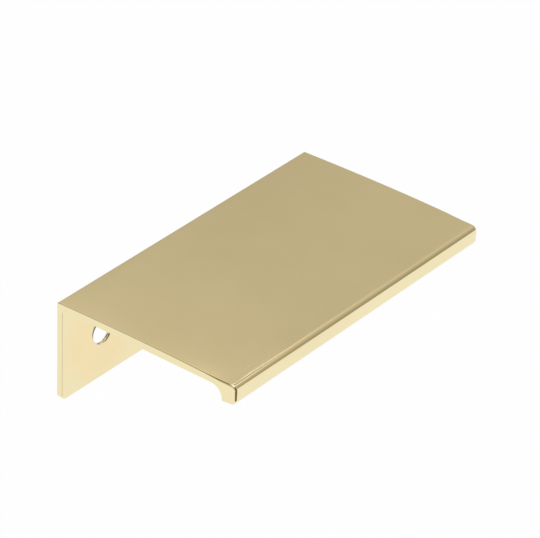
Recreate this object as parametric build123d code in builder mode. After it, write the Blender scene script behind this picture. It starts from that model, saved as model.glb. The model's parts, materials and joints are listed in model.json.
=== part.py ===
"""Profile handle: a polished edge pull for a drawer front or a cupboard door.

It is one hooked profile, cut to length. The plate lies over the panel's edge, the flange hangs
behind the panel and is screwed to it, and the lip turns down in front for the fingers.

X runs along the length, the lip faces -Y and +Z is up. The origin is midway between the
screw holes, on the face of the flange that bears on the panel.
"""
import os
from math import radians, tan

from build123d import *

# Overall sizes, in millimetres
length = 69.5
depth = 40.0
height = 20.2

# Section
wall = 1.2
crown = 0.3
lip_drop = 3.9
lip_thickness = 3.0
lip_land = 0.05

# Rounded edges
front_round = 1.0
lip_round = 1.2
edge_round = 0.25
inner_round = 0.4
corner_round = 1.1
end_share = 0.85

# Screw holes
hole_spacing = 48.0
hole_height = 9.3
hole_radius = 2.3
hole_land = 0.2
rim_round = 0.3
sink_angle = 90.0

# The hole height is measured from the foot of the flange, a little below the middle of its face
foot_z = -hole_height
top_z = height - hole_height
underside_z = top_z - wall
toe_z = top_z - lip_drop

# From the rear face of the flange to the front face of the lip
rear_y = wall
front_y = rear_y - depth
lip_inner_y = front_y + lip_thickness

# The hollow root fills the lip's inner side, and the polish follows the sharpest rounding
root_round = lip_drop - wall - edge_round - lip_land
end_round = end_share * edge_round

# The sink takes what the rim and the short straight land leave of the wall
sink_depth = wall - rim_round - hole_land
sink_radius = hole_radius + sink_depth * tan(radians(sink_angle / 2))

# Corners of the section, as (y, z)
rear_top = (rear_y, top_z)
rear_foot = (rear_y, foot_z)
front_foot = (0, foot_z)
inner_corner = (0, underside_z)
lip_root = (lip_inner_y, underside_z)
inner_toe = (lip_inner_y, toe_z)
front_toe = (front_y, toe_z)
front_top = (front_y, top_z)
crest = ((front_y + rear_y) / 2, top_z + crown)

corner_rounds = [
    (rear_top, edge_round),
    (inner_corner, inner_round),
    (lip_root, root_round),
    (inner_toe, edge_round),
    (front_toe, lip_round),
    (front_top, front_round),
]

with BuildPart() as profile_handle:
    # The hooked section: a crowned top, the hanging flange, and the lip with its hollow root
    with BuildSketch(Plane.YZ) as section:
        with BuildLine():
            ThreePointArc(front_top, crest, rear_top)
            Polyline(rear_top, rear_foot, front_foot, inner_corner, lip_root, inner_toe, front_toe, front_top)
        make_face()
        for corner, radius in corner_rounds:
            fillet(section.vertices().sort_by_distance(corner)[0], radius=radius)
    extrude(amount=length / 2, both=True)

    # The two lower corners of the flange are rounded off
    fillet(profile_handle.edges().filter_by(Axis.Y).group_by(Axis.Z)[0], radius=corner_round)

    # Polishing softens the outline round both cut ends, and from there on along the foot
    end_edges = profile_handle.faces().filter_by(Axis.X).edges()
    smooth_seams = end_edges.filter_by(Axis.Y).group_by(Axis.Z)[0]
    fillet(end_edges - smooth_seams, radius=end_round)

    # Screw holes, sunk from behind for flat-headed screws and softened on the panel side
    with Locations(Plane(origin=(0, rear_y, 0), x_dir=(1, 0, 0), z_dir=(0, 1, 0))):
        with GridLocations(hole_spacing, 0, 2, 1):
            CounterSinkHole(hole_radius, sink_radius, depth=2 * wall, counter_sink_angle=sink_angle)
    rims = profile_handle.edges(Select.LAST).filter_by(GeomType.CIRCLE).group_by(Axis.Y)[0]
    fillet(rims, radius=rim_round)

profile_handle.part.label = "profile_handle"

os.makedirs("parts", exist_ok=True)
export_step(profile_handle.part, "parts/profile_handle.step")
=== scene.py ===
# %% [markdown]
# A profile handle in polished brass
# This lesson dresses a profile handle: a pull that hooks over the edge of a drawer front. The solid
# model gives its size and place, and Blender gives it a clean mesh, a mirror polish and studio light.
# The frame is loaded first, so that every size below can come from it.

# %% Load the frame
import json
from math import cos, pi, radians, sin

import bmesh
import bpy
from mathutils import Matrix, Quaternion, Vector


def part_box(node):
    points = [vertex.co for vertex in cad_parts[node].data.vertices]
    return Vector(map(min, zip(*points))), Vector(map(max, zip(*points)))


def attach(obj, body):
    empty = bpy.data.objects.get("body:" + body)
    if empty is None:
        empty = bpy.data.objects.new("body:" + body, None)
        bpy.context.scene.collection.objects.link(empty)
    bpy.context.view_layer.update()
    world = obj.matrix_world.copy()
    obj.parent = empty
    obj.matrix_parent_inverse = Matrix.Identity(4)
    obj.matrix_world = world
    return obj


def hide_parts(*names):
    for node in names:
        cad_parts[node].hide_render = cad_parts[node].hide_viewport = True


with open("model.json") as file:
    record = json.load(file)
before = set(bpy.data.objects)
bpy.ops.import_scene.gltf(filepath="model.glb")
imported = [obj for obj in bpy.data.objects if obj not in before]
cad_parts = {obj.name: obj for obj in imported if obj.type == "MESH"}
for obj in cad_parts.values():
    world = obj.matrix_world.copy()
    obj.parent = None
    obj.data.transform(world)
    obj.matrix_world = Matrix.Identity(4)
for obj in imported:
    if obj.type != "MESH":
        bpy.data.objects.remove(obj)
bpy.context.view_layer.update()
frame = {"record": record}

# %% [markdown]
# The sizes
# The handle is one hooked section, cut to length. Its outer sizes are the frame's box. The origin lies
# midway between the screw holes, on the flange's bearing face, so the box gives the wall too. The
# record gives the plate's underside and the holes. Only the lip and the roundings are written here.

# %% Sizes from the frame
MM = 0.001
low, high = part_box("profile_handle")
left_x = low.x
length = high.x - low.x
front_y = low.y
rear_y = high.y
depth = rear_y - front_y
wall = rear_y
foot_z = low.z
mounts = {mount["name"]: mount for mount in frame["record"]["mounts"]}
underside_z = mounts["plate_underside"]["pos_m"][2]
top_z = underside_z + wall
crown = high.z - top_z
print("length", length, "depth", depth, "wall", wall, "crown", crown)

# %% Sizes of the lip, the roundings and the holes
lip_thickness = 3.0 * MM
lip_drop = 3.9 * MM
lip_inner_y = front_y + lip_thickness
toe_z = top_z - lip_drop
front_round = 1.0 * MM
lip_round = 1.2 * MM
edge_round = 0.25 * MM
inner_round = 0.4 * MM
root_round = 2.4 * MM
corner_round = 1.1 * MM
screw_holes = mounts["screw_holes"]["dims"]
hole_radius = screw_holes["hole_r_mm"] * MM
hole_spacing = screw_holes["spacing_x_mm"] * MM
rim_round = 0.3 * MM
sink_depth = 0.7 * MM
print("holes of radius", hole_radius, "set", hole_spacing, "apart")

# %% [markdown]
# The section
# The real profile is pushed through a die, so every cut across it has the same outline. It could be
# modelled from a box, but then each long edge would need its own bevel. Here one section is drawn
# flat, as the die maker does: a plane is the plate, two cuts mark where the flange and the lip
# start, and their lower edges are pulled down. Faces and edges are picked in code, by their place.

# %% A helper that picks by place
NEAR = 0.001 * MM


def pick(kind, test):
    """In edit mode, select only the verts, edges or faces that pass the test, and count them."""
    bpy.ops.mesh.select_mode(type=kind)
    bpy.ops.mesh.select_all(action="DESELECT")
    mesh = bpy.context.edit_object.data
    shape = bmesh.from_edit_mesh(mesh)
    parts = {"VERT": shape.verts, "EDGE": shape.edges, "FACE": shape.faces}[kind]
    chosen = [part for part in parts if test(part)]
    for part in chosen:
        part.select_set(True)
    bmesh.update_edit_mesh(mesh)
    return len(chosen)


# %% Plate, flange and lip in one flat outline
bpy.ops.object.select_all(action="DESELECT")
bpy.ops.mesh.primitive_plane_add(size=1, rotation=(radians(90), 0, radians(90)))
handle = bpy.context.active_object
handle.name = "polished_handle"
bpy.ops.object.transform_apply(location=False, rotation=True, scale=False)
bpy.ops.object.mode_set(mode="EDIT")
bpy.ops.mesh.select_all(action="SELECT")
bpy.ops.transform.resize(value=(1, depth, wall))
bpy.ops.transform.translate(value=(left_x, (front_y + rear_y) / 2, (underside_z + top_z) / 2))
for cut_y in (0, lip_inner_y):
    bpy.ops.mesh.select_all(action="SELECT")
    bpy.ops.mesh.bisect(plane_co=(left_x, cut_y, 0), plane_no=(0, 1, 0))


def pull_down(first_y, last_y, end_z):
    """Pull the underside's edge between two places down to a height."""

    def on_underside(vertex):
        return abs(vertex.co.z - underside_z) < NEAR and first_y - NEAR < vertex.co.y < last_y + NEAR

    pick("EDGE", lambda edge: all(on_underside(vertex) for vertex in edge.verts))
    bpy.ops.mesh.extrude_region_move(TRANSFORM_OT_translate={"value": (0, 0, end_z - underside_z)})


pull_down(0, rear_y, foot_z)
pull_down(front_y, lip_inner_y, toe_z)
bpy.ops.mesh.select_all(action="SELECT")
bpy.ops.mesh.dissolve_limited(angle_limit=radians(1))
bpy.ops.object.mode_set(mode="OBJECT")
print("section outline has", len(handle.data.vertices), "corners in", len(handle.data.polygons), "face")

# %% [markdown]
# The crown
# The top isn't quite flat: polishing wheels leave it a hair higher in the middle. A mirror shows
# even that, as a slow change of tone from front to rear. The top edge is divided evenly, and each
# point is lifted onto a shallow arch.

# %% Lift the top into a shallow arch
CROWN_CUTS = 23
bpy.ops.object.mode_set(mode="EDIT")
pick("EDGE", lambda edge: all(abs(vertex.co.z - top_z) < NEAR for vertex in edge.verts))
bpy.ops.mesh.subdivide(number_cuts=CROWN_CUTS)
for cut in range(1, CROWN_CUTS + 1):
    share = cut / (CROWN_CUTS + 1)
    cut_y = front_y + share * depth
    pick("VERT", lambda vertex: abs(vertex.co.y - cut_y) < NEAR and vertex.co.z > top_z - NEAR)
    bpy.ops.transform.translate(value=(0, 0, 4 * crown * share * (1 - share)))
bpy.ops.object.mode_set(mode="OBJECT")
print("top arch rises to", max(vertex.co.z for vertex in handle.data.vertices))

# %% [markdown]
# The rounded corners
# A polished edge is never sharp, and its rounding is where the light lines of the photo come from.
# The front edge is the roundest, the lip's root is a hollow that a fingertip can follow, and the
# rear corner stays crisp. A bevel of single points turns each corner of the outline into an arc. The
# flat toe of the lip is divided, because the breaking of its end fades out along it.

# %% Round each corner of the section
ROUND_STEPS = 6
LARGE_STEPS = 12
ROUND_PROFILE = 0.5
TOE_CUTS = 7


def round_corner(corner_y, corner_z, radius, steps):
    """Turn one corner of the outline into an arc."""
    pick("VERT", lambda vertex: abs(vertex.co.y - corner_y) < NEAR and abs(vertex.co.z - corner_z) < NEAR)
    bpy.ops.mesh.bevel(
        offset_type="ABSOLUTE",
        offset=radius,
        segments=steps,
        profile=ROUND_PROFILE,
        affect="VERTICES",
        clamp_overlap=False,
    )


bpy.ops.object.mode_set(mode="EDIT")
round_corner(front_y, top_z, front_round, LARGE_STEPS)
round_corner(lip_inner_y, underside_z, root_round, LARGE_STEPS)
round_corner(0, underside_z, inner_round, ROUND_STEPS)
round_corner(rear_y, top_z, edge_round, ROUND_STEPS)
round_corner(front_y, toe_z, lip_round, LARGE_STEPS)
round_corner(lip_inner_y, toe_z, edge_round, ROUND_STEPS)
pick("EDGE", lambda edge: all(abs(vertex.co.z - toe_z) < NEAR for vertex in edge.verts))
bpy.ops.mesh.subdivide(number_cuts=TOE_CUTS)
bpy.ops.object.mode_set(mode="OBJECT")
print("rounded outline has", len(handle.data.vertices), "points")

# %% [markdown]
# The length and the flange's corners
# The bar is sawn to length. So the finished outline is pushed out to the length, and the two lower
# corners of the flange, which would catch on cloth, are rounded off with a bevel.

# %% Push the section out and round the flange's corners
CORNER_STEPS = 10
bpy.ops.object.mode_set(mode="EDIT")
bpy.ops.mesh.select_all(action="SELECT")
bpy.ops.mesh.extrude_region_move(TRANSFORM_OT_translate={"value": (length, 0, 0)})
bpy.ops.mesh.select_all(action="SELECT")
bpy.ops.mesh.normals_make_consistent(inside=False)


def on_foot_corner(edge):
    """True for the short edge across the foot at either end."""
    first, last = (vertex.co for vertex in edge.verts)
    on_foot = max(first.z, last.z) < foot_z + NEAR
    return on_foot and abs(first.x - last.x) < NEAR


foot_corners = pick("EDGE", on_foot_corner)
bpy.ops.mesh.bevel(
    offset_type="OFFSET",
    offset=corner_round,
    segments=CORNER_STEPS,
    profile=ROUND_PROFILE,
    affect="EDGES",
    clamp_overlap=False,
)
bpy.ops.object.mode_set(mode="OBJECT")
print("rounded", foot_corners, "foot corners;", len(handle.data.polygons), "faces")

# %% [markdown]
# The dubbed ends
# A soft wheel wraps a little over the end of a bar, so the top falls away towards both ends, by less
# than a tenth of a millimetre. Polishers call it dubbing, and here it is the lighter band beside the
# near edge. The bar is cut across near its ends, through all its faces, because the shading weighs
# them by area. Only then are the points of the top let down, most of all just behind the front edge.

# %% Cut across the bar near both ends
DUB_CUTS = 6
DUB_REACH = 7 * MM
CUT_SPREAD = 1.5
cut_places = [DUB_REACH * (cut / DUB_CUTS) ** CUT_SPREAD for cut in range(DUB_CUTS + 1)]
bpy.ops.object.mode_set(mode="EDIT")
for inwards in cut_places[1:]:
    for cut_x in (left_x + inwards, left_x + length - inwards):
        bpy.ops.mesh.select_all(action="SELECT")
        bpy.ops.mesh.bisect(plane_co=(cut_x, 0, 0), plane_no=(1, 0, 0))
bpy.ops.object.mode_set(mode="OBJECT")
print("cut the bar", 2 * DUB_CUTS, "times;", len(handle.data.polygons), "faces")

# %% Let the top down towards the ends
DUB_DEPTH = 0.08 * MM
DUB_CURVE = 3
REAR_SHARE = 0.2
front_flat = 1.7 * MM
full_dub = 3.7 * MM
even_dub = 15 * MM


def dub_share(behind):
    """The share of the dubbing at a distance behind the front: none, then most, then little."""
    rising = min(max((behind - front_flat) / (full_dub - front_flat), 0), 1)
    falling = min(max((even_dub - behind) / (even_dub - full_dub), 0), 1)
    return rising * (REAR_SHARE + (1 - REAR_SHARE) * falling)


def on_line(vertex, inwards, behind):
    """True for a point of the top at a distance from either end and behind the front."""
    from_end = min(vertex.co.x - left_x, left_x + length - vertex.co.x)
    from_front = vertex.co.y - front_y
    on_top = vertex.co.z > underside_z + NEAR
    return on_top and abs(from_end - inwards) < NEAR and abs(from_front - behind) < NEAR


bpy.ops.object.mode_set(mode="EDIT")
let_down = 0
for inwards in cut_places[:-1]:
    for line in range(1, CROWN_CUTS + 1):
        behind = line / (CROWN_CUTS + 1) * depth
        let_down += pick("VERT", lambda vertex: on_line(vertex, inwards, behind))
        drop = DUB_DEPTH * (1 - inwards / DUB_REACH) ** DUB_CURVE * dub_share(behind)
        bpy.ops.transform.translate(value=(0, 0, -drop))
bpy.ops.object.mode_set(mode="OBJECT")
print("let down", let_down, "points of the top by up to", DUB_DEPTH)

# %% [markdown]
# The cut ends
# Polishing also breaks the sharp outline of the sawn ends: most at the front corner and the lip, which
# meet the wheel first, less along the plate and hardly at all round the flange. Each sharp edge gets
# a bevel weight for its place, and one bevel that follows those weights rounds them all.

# %% Break the sharp edges by weight
END_STEPS = 5
SHARPER = radians(60)
small_break = 0.07 * MM
plate_break = 0.08 * MM
corner_break = 0.4 * MM
top_break = 0.5 * MM
corner_hold = 2.2 * MM
top_reach = 3 * MM
rear_reach = 1 * MM
toe_start_y = front_y + lip_round
toe_end_y = lip_inner_y - edge_round
toe_step = (toe_end_y - toe_start_y) / (TOE_CUTS + 1)


def break_width(place):
    """How far a sharp edge is broken, from the place of its middle."""
    least = small_break
    most = corner_break
    if place.z > top_z - front_round and place.y < -rear_reach:
        least = plate_break
        most += (top_break - corner_break) * min((place.z - top_z) / front_round + 1, 1)
        share = 1 - (place.y - front_y - corner_hold) / top_reach
    elif place.y < toe_start_y:
        share = 1
    elif abs(place.z - toe_z) < NEAR:
        share = (toe_end_y - toe_step - place.y) / (toe_end_y - toe_start_y - 2 * toe_step)
    else:
        share = 0
    return least + min(max(share, 0), 1) * (most - least)


bpy.ops.object.mode_set(mode="EDIT")
sharp_edges = pick("EDGE", lambda edge: edge.calc_face_angle() > SHARPER)
shape = bmesh.from_edit_mesh(handle.data)
weights = shape.edges.layers.float.new("bevel_weight_edge")
for edge in shape.edges:
    if edge.select:
        edge[weights] = break_width((edge.verts[0].co + edge.verts[1].co) / 2) / top_break
bmesh.update_edit_mesh(handle.data)
bpy.ops.object.mode_set(mode="OBJECT")
breaking = handle.modifiers.new("breaking", "BEVEL")
breaking.limit_method = "WEIGHT"
breaking.offset_type = "OFFSET"
breaking.width = top_break
breaking.segments = END_STEPS
breaking.use_clamp_overlap = False
bpy.ops.object.modifier_apply(modifier=breaking.name)
print("broke", sharp_edges, "sharp edges;", len(handle.data.polygons), "faces")

# %% [markdown]
# The screw holes
# Two screws hold the flange from behind, so each hole is drilled through and sunk at the rear for a
# flat head, and its front rim is rounded by the polish. A boolean with a cylinder drills the hole.
# Then one flat bevel is the sink, and a rounded one is the rim.

# %% Drill both holes
HOLE_STEPS = 72
DRILL_LENGTH = 4 * wall
hole_places = [-hole_spacing / 2, hole_spacing / 2]
for hole_x in hole_places:
    bpy.ops.object.select_all(action="DESELECT")
    bpy.ops.mesh.primitive_cylinder_add(
        vertices=HOLE_STEPS,
        radius=hole_radius,
        depth=DRILL_LENGTH,
        location=(hole_x, wall / 2, 0),
        rotation=(radians(90), 0, 0),
    )
    drill = bpy.context.active_object
    drilling = handle.modifiers.new("drilling", "BOOLEAN")
    drilling.operation = "DIFFERENCE"
    drilling.solver = "EXACT"
    drilling.object = drill
    bpy.context.view_layer.objects.active = handle
    bpy.ops.object.modifier_apply(modifier=drilling.name)
    bpy.data.objects.remove(drill)
print("drilled", len(hole_places), "holes;", len(handle.data.polygons), "faces")

# %% Round the front rims and sink the rear ones
RIM_STEPS = 5


def on_rim(edge, rim_y):
    """True for an edge of a hole's rim in the flange's front or rear face."""

    def on_circle(vertex):
        across = min(abs(vertex.co.x - hole_x) for hole_x in hole_places)
        return abs(across**2 + vertex.co.z**2 - hole_radius**2) < NEAR * hole_radius

    return all(abs(vertex.co.y - rim_y) < NEAR and on_circle(vertex) for vertex in edge.verts)


bpy.ops.object.select_all(action="DESELECT")
handle.select_set(True)
bpy.context.view_layer.objects.active = handle
bpy.ops.object.mode_set(mode="EDIT")
front_edges = pick("EDGE", lambda edge: on_rim(edge, 0))
bpy.ops.mesh.bevel(
    offset_type="OFFSET", offset=rim_round, segments=RIM_STEPS, profile=ROUND_PROFILE, clamp_overlap=False
)
rear_edges = pick("EDGE", lambda edge: on_rim(edge, rear_y))
bpy.ops.mesh.bevel(offset_type="OFFSET", offset=sink_depth, segments=1, clamp_overlap=False)
bpy.ops.mesh.select_all(action="SELECT")
bpy.ops.mesh.remove_doubles(threshold=NEAR)
bpy.ops.mesh.normals_make_consistent(inside=False)
bpy.ops.object.mode_set(mode="OBJECT")
print("rounded", front_edges, "front rim edges and sank", rear_edges, "rear ones")

# %% [markdown]
# Smooth shading
# A mirror shows every wrong normal. Plain smooth shading would bend the flats near each rounding, so
# the normals are weighted by face area: a large flat keeps its own normal up to its border, and only
# the roundings turn. Edges sharper than the roundings' steps, such as the sink's, stay sharp.

# %% Weight the normals and put the piece in the frame
SHARP_ANGLE = radians(30)
FLATS_FIRST = 90
bpy.ops.object.shade_smooth_by_angle(angle=SHARP_ANGLE)
weighting = handle.modifiers.new("weighting", "WEIGHTED_NORMAL")
weighting.mode = "FACE_AREA"
weighting.weight = FLATS_FIRST
weighting.keep_sharp = True
bpy.ops.object.modifier_apply(modifier=weighting.name)
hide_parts("profile_handle")
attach(handle, "root")
shape = bmesh.new()
shape.from_mesh(handle.data)
open_edges = sum(1 for edge in shape.edges if not edge.is_manifold)
volume = shape.calc_volume() / MM**3
print("handle has", len(shape.faces), "faces,", open_edges, "open edges and", volume, "cubic mm")
shape.free()

# %% [markdown]
# Polished brass
# Polished brass is a metal mirror: its colour is the colour of its reflections, and it has no
# colour of its own in shade. Real polish is never quite even, though. The wheel leaves faint lines
# along the bar and soft clouds where it pressed harder, so noise moves the roughness and the tone
# a little and gives a very low bump. At the screw holes shade is painted into the colour: their rims
# get a dark ring of painted shade above, on the side of the ends. Their walls are painted paler,
# and the flange round them a touch warmer. The tint ends where the sink starts. All of it reads
# Object coordinates, in metres.

# %% A helper that adds nodes
def add_node(tree, kind, **values):
    """Add a shader node and set its plain sockets by name."""
    node = tree.nodes.new(kind)
    for name, value in values.items():
        node.inputs[name].default_value = value
    return node


# %% Painted rim shade and tint at the screw holes
# The first colour is painted shade: the dark ring at each hole's rim.
RIM_SHADE = (0.2, 0.18, 0.16, 1)
WALL_TINT = (0.98, 1.04, 1.42, 1)
WARM_TINT = (1.01, 0.96, 0.91, 1)
PLAIN_TINT = (1, 1, 1, 1)
TINT_SHIFT = 0.42 * MM
TINT_RISE = 0.6 * MM
TINT_REACH = 11 * MM
dark_end = hole_radius - 0.06 * MM
tint_start = hole_radius + 0.04 * MM
wall_end = hole_radius + 2 * MM
warm_end = hole_radius + 5 * MM
inside_y = 0.06 * MM
sink_y = wall - sink_depth
clear_y = wall - 0.8 * sink_depth
plate_y = -1 * MM
flange_y = -0.2 * MM


def ring_shade_and_tint(tree, span, tint, tint_end):
    """A ramp over the distance from the hole: the painted shade at the rim, then a tint, then plain metal.
    """
    ramp = tree.nodes.new("ShaderNodeValToRGB")
    tree.links.new(span.outputs["Result"], ramp.inputs["Fac"])
    # The ramp starts with painted shade at the rim.
    ramp.color_ramp.elements[0].color = RIM_SHADE
    ramp.color_ramp.elements[1].color = PLAIN_TINT
    ramp.color_ramp.elements.new(dark_end / TINT_REACH).color = RIM_SHADE
    ramp.color_ramp.elements.new(tint_start / TINT_REACH).color = tint
    ramp.color_ramp.elements.new(tint_end / TINT_REACH).color = tint
    return ramp.outputs["Color"]


def hole_shade_and_tint(tree, place):
    """The painted rim shade and the tint by distance from a line beside the nearer hole's axis, and where
    they apply.
    """
    link = tree.links.new
    axes = tree.nodes.new("ShaderNodeSeparateXYZ")
    link(place.outputs["Object"], axes.inputs["Vector"])
    across = tree.nodes.new("ShaderNodeMath")
    across.operation = "ABSOLUTE"
    link(axes.outputs["X"], across.inputs[0])
    folded = tree.nodes.new("ShaderNodeCombineXYZ")
    link(across.outputs["Value"], folded.inputs["X"])
    link(axes.outputs["Z"], folded.inputs["Z"])
    away = tree.nodes.new("ShaderNodeVectorMath")
    away.operation = "DISTANCE"
    away.inputs[1].default_value = (hole_spacing / 2 + TINT_SHIFT, 0, TINT_RISE)
    link(folded.outputs["Vector"], away.inputs[0])
    span = add_node(tree, "ShaderNodeMapRange")
    span.inputs["From Max"].default_value = TINT_REACH
    link(away.outputs["Value"], span.inputs["Value"])
    inside = add_node(tree, "ShaderNodeMapRange")
    inside.inputs["From Max"].default_value = inside_y
    link(axes.outputs["Y"], inside.inputs["Value"])
    both = tree.nodes.new("ShaderNodeMix")
    both.data_type = "RGBA"
    link(inside.outputs["Result"], both.inputs[0])
    link(ring_shade_and_tint(tree, span, WARM_TINT, warm_end), both.inputs[6])
    link(ring_shade_and_tint(tree, span, WALL_TINT, wall_end), both.inputs[7])
    before_sink = add_node(tree, "ShaderNodeMapRange")
    before_sink.inputs["From Min"].default_value = clear_y
    before_sink.inputs["From Max"].default_value = sink_y
    link(axes.outputs["Y"], before_sink.inputs["Value"])
    on_flange = add_node(tree, "ShaderNodeMapRange")
    on_flange.inputs["From Min"].default_value = plate_y
    on_flange.inputs["From Max"].default_value = flange_y
    link(axes.outputs["Y"], on_flange.inputs["Value"])
    link(before_sink.outputs["Result"], on_flange.inputs["To Max"])
    return both.outputs[2], on_flange.outputs["Result"]


print("tint reaches", warm_end, "from each hole on the flange and", wall_end, "inside it")

# %% The polished brass
PALE_BRASS = (0.89, 0.785, 0.49, 1)
DEEP_BRASS = (0.87, 0.76, 0.466, 1)
BEST_POLISH = 0.03
LEAST_POLISH = 0.09
LINE_STRETCH = 0.04
LINE_HEIGHT = 0.01 * MM


def polished_brass():
    """A metal mirror with faint clouds, buffing lines, a very low bump and the holes' painted rim shade
    and tint.
    """
    material = bpy.data.materials.new("polished_brass")
    material.use_nodes = True
    tree = material.node_tree
    link = tree.links.new
    surface = tree.nodes["Principled BSDF"]
    surface.inputs["Metallic"].default_value = 1
    place = tree.nodes.new("ShaderNodeTexCoord")
    along_bar = add_node(tree, "ShaderNodeMapping", Scale=(LINE_STRETCH, 1, 1))
    link(place.outputs["Object"], along_bar.inputs["Vector"])
    clouds = add_node(tree, "ShaderNodeTexNoise", Scale=90, Detail=3, Roughness=0.5)
    link(place.outputs["Object"], clouds.inputs["Vector"])
    lines = add_node(tree, "ShaderNodeTexNoise", Scale=2500, Detail=2, Roughness=0.6)
    link(along_bar.outputs["Vector"], lines.inputs["Vector"])
    tone = tree.nodes.new("ShaderNodeValToRGB")
    tone.color_ramp.elements[0].position = 0.3
    tone.color_ramp.elements[0].color = DEEP_BRASS
    tone.color_ramp.elements[1].position = 0.7
    tone.color_ramp.elements[1].color = PALE_BRASS
    link(clouds.outputs["Fac"], tone.inputs["Fac"])
    shaded_and_tinted = tree.nodes.new("ShaderNodeMix")
    shaded_and_tinted.data_type = "RGBA"
    shaded_and_tinted.blend_type = "MULTIPLY"
    # Here the holes' rims get painted shade, and their walls and the flange round them get a tint.
    tint, on_flange = hole_shade_and_tint(tree, place)
    link(on_flange, shaded_and_tinted.inputs[0])
    link(tone.outputs["Color"], shaded_and_tinted.inputs[6])
    link(tint, shaded_and_tinted.inputs[7])
    link(shaded_and_tinted.outputs[2], surface.inputs["Base Color"])
    wheel = tree.nodes.new("ShaderNodeMath")
    wheel.operation = "MULTIPLY"
    link(clouds.outputs["Fac"], wheel.inputs[0])
    link(lines.outputs["Fac"], wheel.inputs[1])
    gloss = add_node(tree, "ShaderNodeMapRange")
    gloss.inputs["From Min"].default_value = 0.1
    gloss.inputs["From Max"].default_value = 0.45
    gloss.inputs["To Min"].default_value = BEST_POLISH
    gloss.inputs["To Max"].default_value = LEAST_POLISH
    link(wheel.outputs["Value"], gloss.inputs["Value"])
    link(gloss.outputs["Result"], surface.inputs["Roughness"])
    relief = add_node(tree, "ShaderNodeBump", Strength=0.02, Distance=LINE_HEIGHT)
    link(lines.outputs["Fac"], relief.inputs["Height"])
    link(relief.outputs["Normal"], surface.inputs["Normal"])
    return material


handle.data.materials.clear()
handle.data.materials.append(polished_brass())
print("polished brass has", len(handle.data.materials[0].node_tree.nodes), "nodes")

# %% [markdown]
# The studio
# A mirror is lit by what stands around it. The floor is white paper well below the handle, so that
# the shadow falls out of the frame and the lip, the flange and the cut ends reflect white. Where the
# paper ends, under the camera, the floor of the room is dark, and that is the thin dark line down the
# lip's corner. The dark sheet fans out from in front of the handle, so that only the corner's rounding
# mirrors it. The camera looks through it, so other views keep the white floor.

# %% The floor
FLOOR_DROP = 300 * MM
FLOOR_SIZE = 30
floor_z = foot_z - FLOOR_DROP
bpy.ops.object.select_all(action="DESELECT")
bpy.ops.mesh.primitive_plane_add(size=FLOOR_SIZE, location=(0, 0, floor_z))
floor = bpy.context.active_object
floor.name = "studio_floor"
print("floor lies at", floor.location.z)

# %% White paper on it
PAPER_WHITE = (0.9, 0.9, 0.9, 1)
PAPER_GLOW = 0.985
MATT = 0.9


def white_paper():
    """White paper that the camera and the mirror see as white, with a soft shadow left in it."""
    material = bpy.data.materials.new("white_paper")
    material.use_nodes = True
    tree = material.node_tree
    link = tree.links.new
    paper = tree.nodes["Principled BSDF"]
    paper.inputs["Base Color"].default_value = PAPER_WHITE
    paper.inputs["Roughness"].default_value = MATT
    glow = add_node(tree, "ShaderNodeEmission", Strength=1)
    rays = tree.nodes.new("ShaderNodeLightPath")
    mirrored = tree.nodes.new("ShaderNodeMath")
    mirrored.operation = "ADD"
    link(rays.outputs["Is Camera Ray"], mirrored.inputs[0])
    link(rays.outputs["Is Glossy Ray"], mirrored.inputs[1])
    seen = tree.nodes.new("ShaderNodeMath")
    seen.operation = "ADD"
    seen.use_clamp = True
    link(mirrored.outputs["Value"], seen.inputs[0])
    link(rays.outputs["Is Transmission Ray"], seen.inputs[1])
    share = tree.nodes.new("ShaderNodeMath")
    share.operation = "MULTIPLY"
    share.inputs[1].default_value = PAPER_GLOW
    link(seen.outputs["Value"], share.inputs[0])
    blend = tree.nodes.new("ShaderNodeMixShader")
    link(share.outputs["Value"], blend.inputs["Fac"])
    link(paper.outputs["BSDF"], blend.inputs[1])
    link(glow.outputs["Emission"], blend.inputs[2])
    link(blend.outputs["Shader"], tree.nodes["Material Output"].inputs["Surface"])
    return material


floor.data.materials.append(white_paper())
print("paper has", len(floor.data.materials[0].node_tree.nodes), "nodes")

# %% The dark floor where the paper ends
SHEET_HEADING = radians(258)
SHEET_START = 0.325
SHEET_LENGTH = 12
SHEET_WIDTH = 0.9
SHEET_FAN = 20
SHEET_LIFT = 1 * MM
CLOTH_BROWN = (0.38, 0.3, 0.19, 1)
sheet_way = Vector((cos(SHEET_HEADING), sin(SHEET_HEADING), 0))
sheet_middle = (SHEET_START + SHEET_LENGTH / 2) * sheet_way
bpy.ops.object.select_all(action="DESELECT")
bpy.ops.mesh.primitive_plane_add(
    size=1, location=(sheet_middle.x, sheet_middle.y, floor_z + SHEET_LIFT), rotation=(0, 0, SHEET_HEADING)
)
dark_sheet = bpy.context.active_object
dark_sheet.name = "dark_sheet"
bpy.ops.transform.resize(value=(SHEET_LENGTH, SHEET_WIDTH, 1), orient_type="LOCAL")
bpy.ops.object.mode_set(mode="EDIT")
pick("VERT", lambda vertex: vertex.co.x > 0)
bpy.ops.transform.resize(value=(1, SHEET_FAN, 1), orient_type="LOCAL")
bpy.ops.object.mode_set(mode="OBJECT")
dark_sheet.visible_camera = False
dark_cloth = bpy.data.materials.new("dark_cloth")
dark_cloth.use_nodes = True
cloth = dark_cloth.node_tree.nodes["Principled BSDF"]
cloth.inputs["Base Color"].default_value = CLOTH_BROWN
cloth.inputs["Roughness"].default_value = MATT
dark_sheet.data.materials.append(dark_cloth)
print("dark sheet is", tuple(dark_sheet.dimensions))

# %% [markdown]
# The room
# The top of the plate reflects the far side of the room, a warm grey. The rounded front edge turns
# away from it towards the front of the room, which is dimmer: hence the dark band above the lip. The
# near end's edge turns to the left, where the room is dark too, and the dubbed ends turn to a lighter
# stretch on the right. A narrow pale band at the very front softens the lower border of the dark band.
# So the room's light is painted over its directions: one ramp from front to back, another from left
# to right, multiplied.

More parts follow.
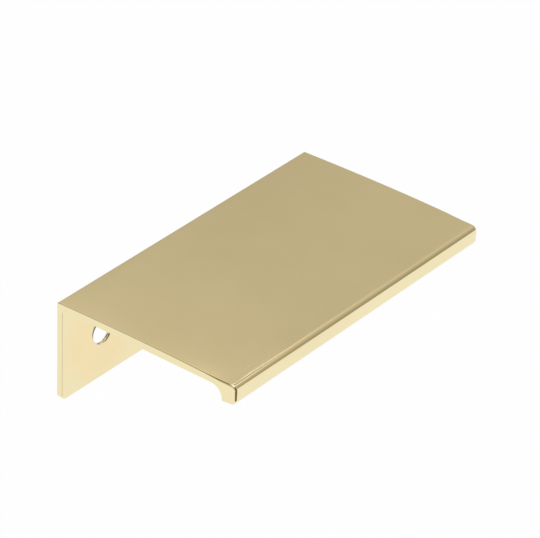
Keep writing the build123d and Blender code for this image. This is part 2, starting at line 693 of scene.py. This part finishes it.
# %% Helpers that paint a ramp over one axis of the directions
WARM = Vector((1.08, 1.0, 0.865))
PLAIN = Vector((1.0, 1.0, 1.0))
world = bpy.data.worlds.new("studio_room")
bpy.context.scene.world = world
world.use_nodes = True
tree = world.node_tree
direction = tree.nodes.new("ShaderNodeTexCoord")
axes = tree.nodes.new("ShaderNodeSeparateXYZ")
tree.links.new(direction.outputs["Generated"], axes.inputs["Vector"])


def ramp_over(axis):
    """A colour ramp over one axis of the direction, from -1 to 1."""
    span = add_node(tree, "ShaderNodeMapRange")
    span.inputs["From Min"].default_value = -1
    tree.links.new(axes.outputs[axis], span.inputs["Value"])
    ramp = tree.nodes.new("ShaderNodeValToRGB")
    tree.links.new(span.outputs["Result"], ramp.inputs["Fac"])
    return ramp


def paint(ramp, place, light, tint):
    """Add one stop to a ramp, at a place from -1 to 1."""
    stop = ramp.color_ramp.elements.new((place + 1) / 2)
    stop.color = (*(light * tint), 1)


print("room starts with", len(tree.nodes), "nodes")

# %% Light from front to back
DARK_FRONT = 0.12
PALE_FRONT = 0.95
DIM_FRONT = 0.34
GREY_FRONT = 0.47
LIT_MIDDLE = 0.665
SOFT_BACK = 0.573
GREY_BACK = 0.534
DIM_BACK = 0.3
front_to_back = ramp_over("Y")
paint(front_to_back, -0.82, DARK_FRONT, WARM)
paint(front_to_back, -0.77, PALE_FRONT, WARM)
paint(front_to_back, -0.75, PALE_FRONT, WARM)
paint(front_to_back, -0.722, DIM_FRONT, WARM)
paint(front_to_back, -0.5, GREY_FRONT, WARM)
paint(front_to_back, 0.0, LIT_MIDDLE, WARM)
paint(front_to_back, 0.25, LIT_MIDDLE, WARM)
paint(front_to_back, 0.46, SOFT_BACK, WARM)
paint(front_to_back, 0.49, SOFT_BACK, WARM)
paint(front_to_back, 0.57, GREY_BACK, WARM)
paint(front_to_back, 0.72, DIM_BACK, WARM)
print("front to back has", len(front_to_back.color_ramp.elements), "stops")

# %% Light from left to right
PALE_LEFT = 1.1
DARK_LEFT = 0.42
LIT_RIGHT = 1.4
SOFT_RIGHT = 1.085
GREY_RIGHT = 0.955
DIM_RIGHT = 0.5
left_to_right = ramp_over("X")
paint(left_to_right, -0.86, PALE_LEFT, PLAIN)
paint(left_to_right, -0.65, DARK_LEFT, PLAIN)
paint(left_to_right, 0.15, DARK_LEFT, PLAIN)
paint(left_to_right, 0.6, LIT_RIGHT, PLAIN)
paint(left_to_right, 0.64, SOFT_RIGHT, PLAIN)
paint(left_to_right, 0.675, GREY_RIGHT, PLAIN)
paint(left_to_right, 0.76, GREY_RIGHT, PLAIN)
paint(left_to_right, 0.88, DIM_RIGHT, PLAIN)
print("left to right has", len(left_to_right.color_ramp.elements), "stops")

# %% Drop the ramps' own end stops and multiply the two
for ramp in (front_to_back, left_to_right):
    ramp.color_ramp.elements.remove(ramp.color_ramp.elements[-1])
    ramp.color_ramp.elements.remove(ramp.color_ramp.elements[0])
walls = tree.nodes.new("ShaderNodeMix")
walls.data_type = "RGBA"
walls.blend_type = "MULTIPLY"
walls.inputs[0].default_value = 1
tree.links.new(front_to_back.outputs["Color"], walls.inputs[6])
tree.links.new(left_to_right.outputs["Color"], walls.inputs[7])
tree.links.new(walls.outputs[2], tree.nodes["Background"].inputs["Color"])
print("room has", len(tree.nodes), "nodes")

# %% The lamp overhead
LAMP_HEIGHT = 1.5
LAMP_SIZE = 1.4
LAMP_POWER = 6
bpy.ops.object.light_add(type="AREA", location=(0, 0, LAMP_HEIGHT))
lamp = bpy.context.active_object
lamp.name = "overhead_softbox"
lamp.data.shape = "DISK"
lamp.data.size = LAMP_SIZE
lamp.data.energy = LAMP_POWER
print("lamp of", lamp.data.energy, "W")

# %% [markdown]
# The light lines
# Two small softboxes stand to the right, half a metre away, with a grey card between them. Being so
# near, they are mirrored in the front rounding only at the near end of the handle, as two thin light
# lines. A card behind them, bright at one side and dim at the other, lets the upper line run on and
# fade out along the edge. All of them are placed by heading and height, and face the handle.

# %% Two softboxes
SOFTBOX_DISTANCE = 0.5


def stand(piece, distance, heading, height, tilt, left, up):
    """Turn a lamp or a card to the origin from a heading and a height, set off to its left and up."""
    outwards = Vector((cos(height) * cos(heading), cos(height) * sin(heading), sin(height)))
    turn = outwards.to_track_quat("Z", "Y") @ Quaternion((0, 0, 1), tilt)
    piece.location = distance * outwards + turn @ Vector((left, up, 0))
    piece.rotation_mode = "QUATERNION"
    piece.rotation_quaternion = turn
    piece.visible_camera = False


def softbox(name, heading, height, left, bottom, width, tall, brightness):
    """A lamp that faces the handle, placed by its left and lower borders."""
    bpy.ops.object.select_all(action="DESELECT")
    bpy.ops.object.light_add(type="AREA")
    box = bpy.context.active_object
    box.name = name
    stand(box, SOFTBOX_DISTANCE, heading, height, 0, left - width / 2, bottom + tall / 2)
    box.data.shape = "RECTANGLE"
    box.data.size = width
    box.data.size_y = tall
    box.data.energy = pi * width * tall * brightness
    print(name, "stands at", tuple(box.location))


softbox(
    "edge_softbox",
    heading=radians(30),
    height=radians(38),
    left=22 * MM,
    bottom=24 * MM,
    width=24 * MM,
    tall=20 * MM,
    brightness=0.95,
)
softbox(
    "lower_softbox",
    heading=radians(0),
    height=radians(48),
    left=-40 * MM,
    bottom=31 * MM,
    width=90 * MM,
    tall=50 * MM,
    brightness=0.41,
)

# %% The glowing grey card between them
CARD_LENGTH = 185 * MM
CARD_WIDTH = 27 * MM
CARD_GREY = (0.5, 0.46, 0.4, 1)
bpy.ops.object.select_all(action="DESELECT")
bpy.ops.mesh.primitive_plane_add(size=1)
card = bpy.context.active_object
card.name = "grey_card"
stand(
    card,
    distance=SOFTBOX_DISTANCE,
    heading=radians(18),
    height=radians(46),
    tilt=radians(-24),
    left=-35 * MM,
    up=30.5 * MM,
)
bpy.ops.transform.resize(value=(CARD_LENGTH, CARD_WIDTH, 1), orient_type="LOCAL")
glowing_grey_paper = bpy.data.materials.new("glowing_grey_paper")
glowing_grey_paper.use_nodes = True
tree = glowing_grey_paper.node_tree
# The card glows with painted grey light of its own and is not lit by the lamps.
card_glow = add_node(tree, "ShaderNodeEmission", Color=CARD_GREY, Strength=1)
tree.links.new(card_glow.outputs["Emission"], tree.nodes["Material Output"].inputs["Surface"])
card.data.materials.append(glowing_grey_paper)
print("grey card is", tuple(card.dimensions))

# %% The fading card behind them
FADE_DISTANCE = 0.51
FADE_LENGTH = 52 * MM
FADE_WIDTH = 62 * MM
bpy.ops.object.select_all(action="DESELECT")
bpy.ops.mesh.primitive_plane_add(size=1)
fading_card = bpy.context.active_object
fading_card.name = "fading_card"
stand(
    fading_card,
    distance=FADE_DISTANCE,
    heading=radians(30),
    height=radians(38),
    tilt=radians(45),
    left=2 * MM,
    up=59 * MM,
)
bpy.ops.transform.resize(value=(FADE_LENGTH, FADE_WIDTH, 1), orient_type="LOCAL")
print("fading card is", tuple(fading_card.dimensions))

# %% Its light, from dim to bright
FADE_DIM = 0.6
FADE_MIDDLE = 0.85
FADE_BRIGHT = 1.15
fading_paper = bpy.data.materials.new("fading_paper")
fading_paper.use_nodes = True
tree = fading_paper.node_tree
card_place = tree.nodes.new("ShaderNodeTexCoord")
card_axes = tree.nodes.new("ShaderNodeSeparateXYZ")
tree.links.new(card_place.outputs["Object"], card_axes.inputs["Vector"])
along_card = add_node(tree, "ShaderNodeMapRange")
along_card.inputs["From Min"].default_value = -0.5
along_card.inputs["From Max"].default_value = 0.5
tree.links.new(card_axes.outputs["X"], along_card.inputs["Value"])
fade = tree.nodes.new("ShaderNodeValToRGB")
tree.links.new(along_card.outputs["Result"], fade.inputs["Fac"])
fade.color_ramp.elements[0].color = (*(FADE_DIM * WARM), 1)
fade.color_ramp.elements[1].color = (*(FADE_BRIGHT * WARM), 1)
fade.color_ramp.elements.new(0.45).color = (*(FADE_MIDDLE * WARM), 1)
fade.color_ramp.elements.new(0.72).color = (*(FADE_BRIGHT * WARM), 1)
card_glow = add_node(tree, "ShaderNodeEmission", Strength=1)
tree.links.new(fade.outputs["Color"], card_glow.inputs["Color"])
tree.links.new(card_glow.outputs["Emission"], tree.nodes["Material Output"].inputs["Surface"])
fading_card.data.materials.append(fading_paper)
print("fading paper has", len(tree.nodes), "nodes")

# %% [markdown]
# The camera
# The camera stands where the photo was taken: above the handle, off its left end, with a long lens
# that keeps the edges nearly parallel. It is held a little crooked, as the photo is.

# %% Place the camera
AIM = Vector((0.858, -17.801, 8.931)) * MM
DISTANCE = 629.69 * MM
HEADING = radians(37.362)
LOOKS_DOWN = radians(32.279)
ROLL = radians(2.31)
LENS = 235.828
forward = Vector((cos(LOOKS_DOWN) * cos(HEADING), cos(LOOKS_DOWN) * sin(HEADING), -sin(LOOKS_DOWN)))
bpy.ops.object.camera_add(location=AIM - DISTANCE * forward)
camera = bpy.context.active_object
camera.name = "photo_camera"
camera.rotation_mode = "QUATERNION"
camera.rotation_quaternion = forward.to_track_quat("-Z", "Y") @ Quaternion((0, 0, 1), ROLL)
camera.data.lens = LENS
bpy.context.scene.camera = camera
bpy.context.scene.view_settings.view_transform = "Standard"
print("camera at", tuple(camera.location))
